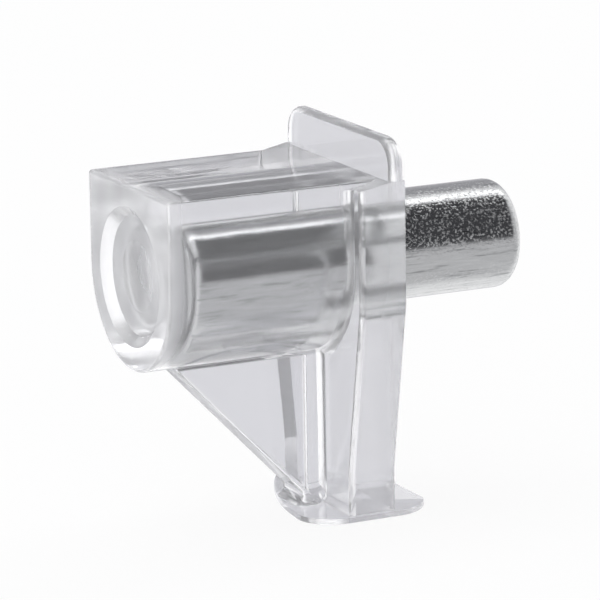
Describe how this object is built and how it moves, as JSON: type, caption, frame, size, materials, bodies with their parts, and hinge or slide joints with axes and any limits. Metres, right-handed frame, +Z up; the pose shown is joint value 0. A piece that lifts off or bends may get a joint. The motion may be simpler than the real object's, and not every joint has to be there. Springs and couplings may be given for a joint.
{
  "type": "shelf support pin",
  "caption": "Clear moulded shelf support bracket with a flat top, gusset and rear tab, set round a plain steel pin that plugs into a cabinet's side.",
  "frame": {"origin": "on the pin's axis, in the plane of the back plate's rear face, which lies against the cabinet's side", "axes": "+X along the pin towards its free end, into the cabinet's side; +Z up, out of the face that carries the shelf; Y along the cabinet's side"},
  "size_m": [0.0185, 0.0104, 0.0175],
  "materials": {
    "clear_plastic": "clear moulded plastic, glossy",
    "plated_steel": "zinc-plated steel, fine lengthwise scratches and pits"
  },
  "bodies": {
    "root": {"clear_bracket": "clear_plastic", "steel_pin": "plated_steel"}
  },
  "joints": []
}
